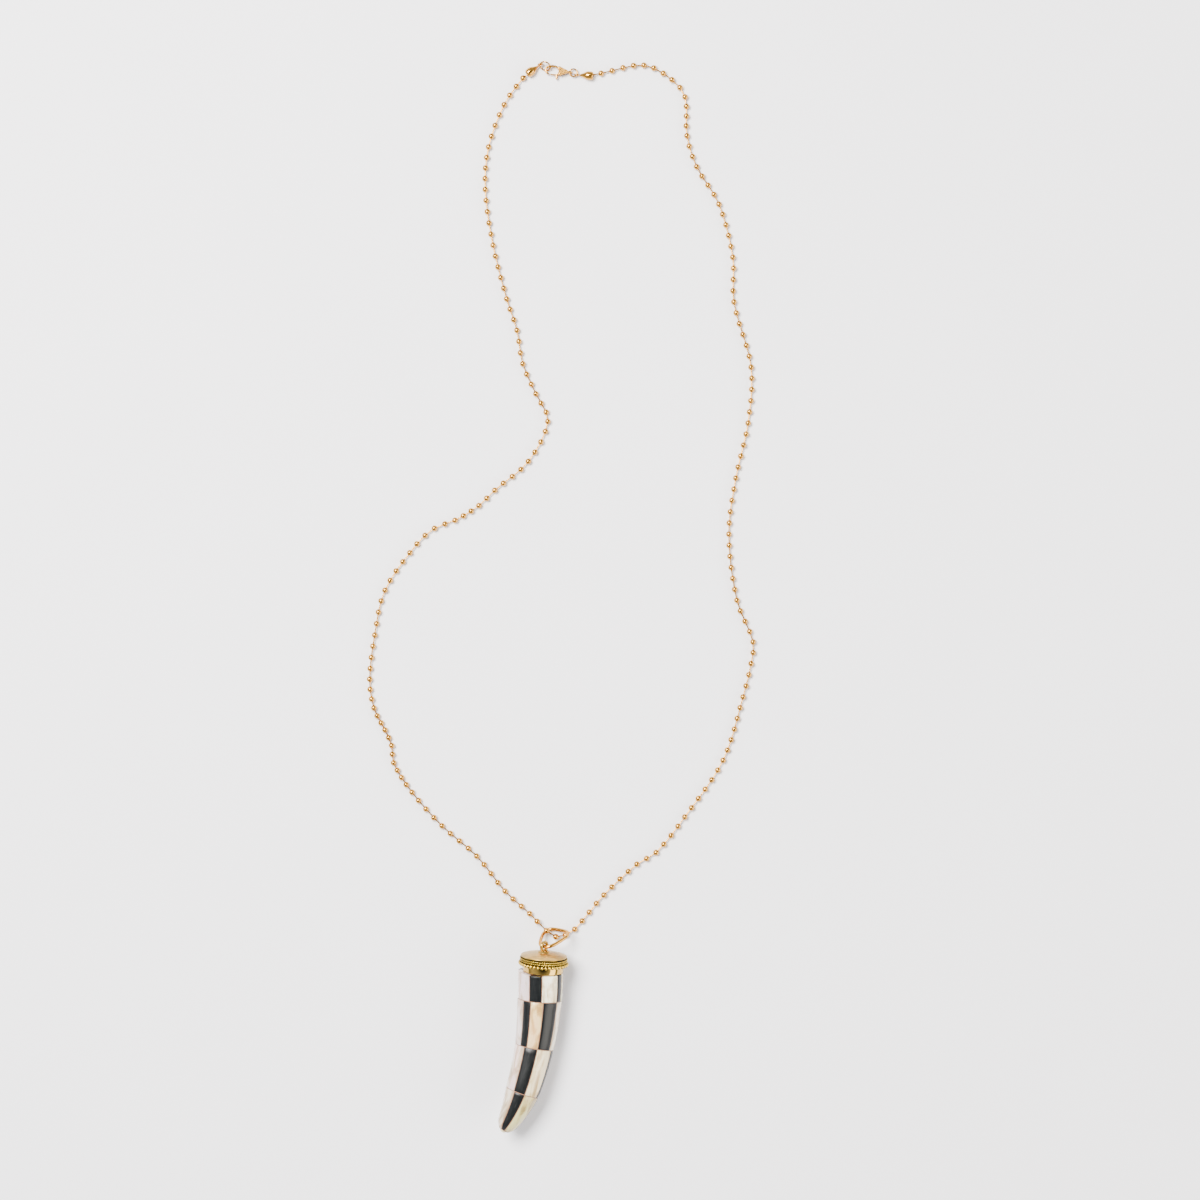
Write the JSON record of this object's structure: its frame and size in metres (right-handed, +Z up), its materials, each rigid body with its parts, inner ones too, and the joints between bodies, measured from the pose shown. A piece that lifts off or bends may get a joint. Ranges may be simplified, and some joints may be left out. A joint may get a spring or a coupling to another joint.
{
  "type": "horn pendant necklace",
  "caption": "Ball-chain necklace laid flat, with a lobster clasp and a curved horn pendant of checkered black and mother-of-pearl tiles under a brass cap, hung by a wire bail.",
  "frame": {"origin": "under the middle of the laid-out necklace's box, on the surface that it lies on", "axes": "+Z up from the surface, +Y from the pendant towards the clasp, +X to the right in the picture"},
  "size_m": [0.1402, 0.3836, 0.0182],
  "materials": {
    "chain_gold": "rose-gold plated brass, polished",
    "cap_brass": "yellow brass, polished sleeve, dark in the grooves",
    "black_tile": "black horn, sanded and polished, faint lengthwise lines",
    "pearl_tile": "mother-of-pearl, polished, with pink and green sheen",
    "joint_resin": "reddish-brown filler in the tile joints"
  },
  "bodies": {
    "root": {"horn_core": "joint_resin", "cap": "cap_brass", "bail": "chain_gold", "clasp_body": "chain_gold", "chain_left": "chain_gold", "chain_right": "chain_gold", "connector_left": "chain_gold", "connector_right": "chain_gold", "jump_ring_left": "chain_gold", "jump_ring_right": "chain_gold", "tile_1_01": "pearl_tile", "tile_1_02": "black_tile", "tile_1_03": "pearl_tile", "tile_1_04": "black_tile", "tile_1_05": "pearl_tile", "tile_1_06": "black_tile", "tile_1_07": "pearl_tile", "tile_1_08": "black_tile", "tile_1_09": "pearl_tile", "tile_1_10": "black_tile", "tile_2_01": "pearl_tile", "tile_2_02": "black_tile", "tile_2_03": "pearl_tile", "tile_2_04": "black_tile", "tile_2_05": "pearl_tile", "tile_2_06": "black_tile", "tile_2_07": "pearl_tile", "tile_2_08": "black_tile", "tile_2_09": "pearl_tile", "tile_2_10": "black_tile", "tile_3_01": "pearl_tile", "tile_3_02": "black_tile", "tile_3_03": "pearl_tile", "tile_3_04": "black_tile", "tile_3_05": "pearl_tile", "tile_3_06": "black_tile", "tile_3_07": "pearl_tile", "tile_3_08": "black_tile", "tile_4_01": "pearl_tile", "tile_4_02": "black_tile", "tile_4_03": "pearl_tile", "tile_4_04": "black_tile", "tile_4_05": "pearl_tile", "tile_4_06": "black_tile", "tile_4_07": "pearl_tile", "tile_4_08": "black_tile"},
    "lever": {"clasp_lever": "chain_gold"}
  },
  "joints": [
    {"name": "clasp_lever_pivot", "type": "hinge", "parent": "root", "child": "lever", "pos_m": [-0.00064, 0.18757, 0.00136], "axis": [0, 0, -1], "range_deg": [0, 20], "stiffness_Nm_per_rad": 0.0005, "springref_deg": -17.19}
  ]
}
